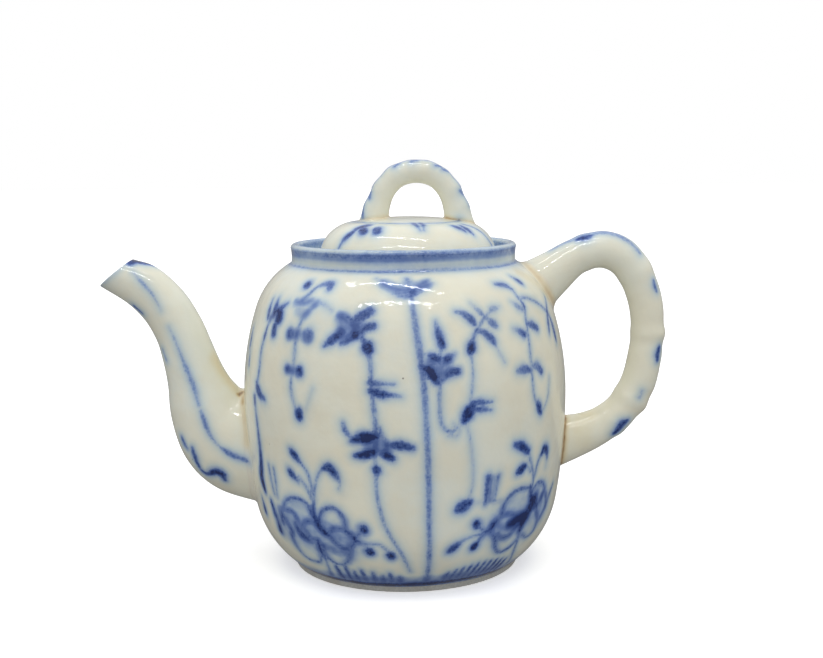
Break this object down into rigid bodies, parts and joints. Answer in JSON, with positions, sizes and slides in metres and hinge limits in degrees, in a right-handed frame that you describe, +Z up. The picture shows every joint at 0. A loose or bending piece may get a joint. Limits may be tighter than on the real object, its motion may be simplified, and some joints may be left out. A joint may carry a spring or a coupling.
{
  "type": "porcelain teapot",
  "caption": "Small blue-and-white porcelain teapot with an S-shaped spout, a side handle and a lift-out domed lid with a loop.",
  "frame": {"origin": "on the surface that the foot rests on, under the pot's axis", "axes": "+Z up, +X towards the handle, -X towards the spout, +Y towards the pot's far side"},
  "size_m": [0.1768, 0.101, 0.1268],
  "materials": {
    "painted_porcelain": "glossy clear glaze over cobalt blue painting",
    "plain_porcelain": "glossy clear glaze",
    "stained_slip": "glazed, brown with age at the joins",
    "bare_foot": "unglazed, rubbed smooth"
  },
  "bodies": {
    "pot": {"pot_body": "painted_porcelain", "foot_ring": "bare_foot", "neck_collar": "painted_porcelain", "lid_seat_ring": "plain_porcelain", "spout": "painted_porcelain", "spout_seam": "stained_slip", "handle": "painted_porcelain", "handle_upper_seam": "stained_slip", "handle_lower_seam": "stained_slip"},
    "lid": {"lid_dome": "painted_porcelain", "lid_locating_ring": "plain_porcelain", "lid_loop": "painted_porcelain", "loop_spout_side_seam": "stained_slip", "loop_handle_side_seam": "stained_slip"}
  },
  "joints": [
    {"name": "lid_lift", "type": "slide", "parent": "pot", "child": "lid", "axis": [0, 0, 1], "range_m": [0, 0.06]}
  ]
}
